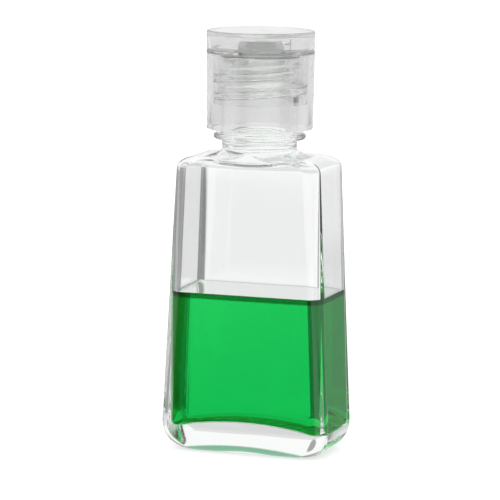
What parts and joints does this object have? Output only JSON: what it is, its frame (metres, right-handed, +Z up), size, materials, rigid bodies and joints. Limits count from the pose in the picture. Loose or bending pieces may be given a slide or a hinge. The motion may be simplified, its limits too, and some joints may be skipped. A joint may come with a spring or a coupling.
{
  "type": "travel squeeze bottle",
  "caption": "Tapered clear travel squeeze bottle with a flip-top screw cap, half full of clear green gel.",
  "frame": {"origin": "on the neck's axis, in the plane that the bottle's feet stand on", "axes": "+Z up along the neck, +X along the wide side, the front faces -Y and the cap's hinge is towards +Y"},
  "size_m": [0.042, 0.0269, 0.101],
  "materials": {
    "clear_body": "clear blow-moulded PET, glossy",
    "green_gel": "clear green water-based gel",
    "washer_foam": "soft polyethylene foam",
    "frosted_cap": "natural polypropylene, hazy and translucent",
    "frosted_lid": "natural polypropylene, hazy and translucent",
    "frosted_web": "natural polypropylene, thin and flexible"
  },
  "bodies": {
    "bottle_body": {"bottle": "clear_body", "green_gel": "green_gel"},
    "seal": {"sealing_washer": "washer_foam"},
    "cap": {"cap_base": "frosted_cap", "hinge_film_left": "frosted_web", "hinge_film_right": "frosted_web", "hinge_strap": "frosted_web"},
    "lid": {"cap_lid": "frosted_lid"}
  },
  "joints": [
    {"name": "cap_lift", "type": "slide", "parent": "bottle_body", "child": "seal", "axis": [0, 0, 1], "range_m": [0, 0.0084]},
    {"name": "cap_turn", "type": "hinge", "parent": "seal", "child": "cap", "pos_m": [0, 0, 0.07765], "axis": [0, 0, 1], "range_deg": [0, 720]},
    {"name": "lid_hinge", "type": "hinge", "parent": "cap", "child": "lid", "pos_m": [0, 0.01298, 0.09665], "axis": [-1, 0, 0], "range_deg": [0, 120], "deforming": ["hinge_film_left", "hinge_film_right", "hinge_strap"]}
  ],
  "couplings": [
    {"joint": "cap_lift", "follows": "cap_turn", "m_per_rad": 0.00066845}
  ]
}
